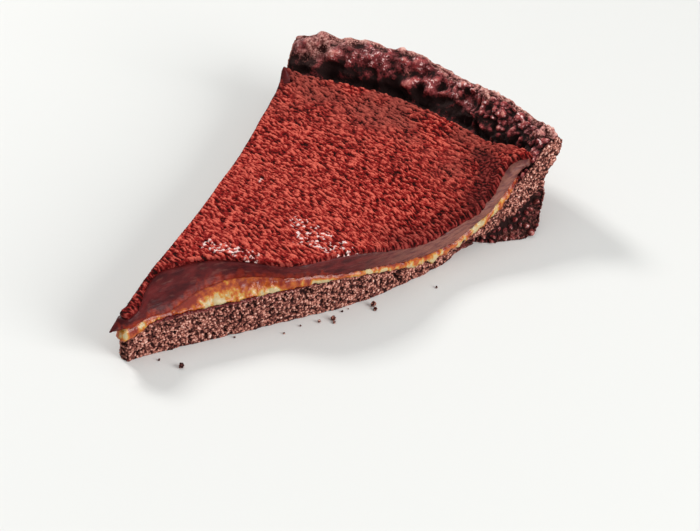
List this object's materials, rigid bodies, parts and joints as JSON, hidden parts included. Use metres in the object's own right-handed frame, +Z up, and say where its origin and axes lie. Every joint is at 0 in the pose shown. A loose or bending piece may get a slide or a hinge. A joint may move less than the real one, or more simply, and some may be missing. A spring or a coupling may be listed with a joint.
{
  "type": "slice of cream cheese tart with ganache and cocoa",
  "caption": "Wedge of a chocolate-crust tart with a thick rim, a cream layer, a ganache layer and a dusting of cocoa, resting on its flat base.",
  "frame": {"origin": "centre of the slice's bounding box in plan, on the flat base it rests on", "axes": "+X from the slice's tip towards the middle of its rim, +Z up"},
  "size_m": [0.1486, 0.0968, 0.0272],
  "materials": {
    "chocolate_crust": "matte dark chocolate pastry crumb",
    "cream_cheese": "soft glossy pale yellow cream",
    "chocolate_ganache": "satin dark chocolate ganache",
    "cocoa_powder": "matte red-brown cocoa powder"
  },
  "bodies": {
    "root": {"crust": "chocolate_crust", "cream_cheese": "cream_cheese", "ganache": "chocolate_ganache", "cocoa_powder": "cocoa_powder"}
  },
  "joints": []
}
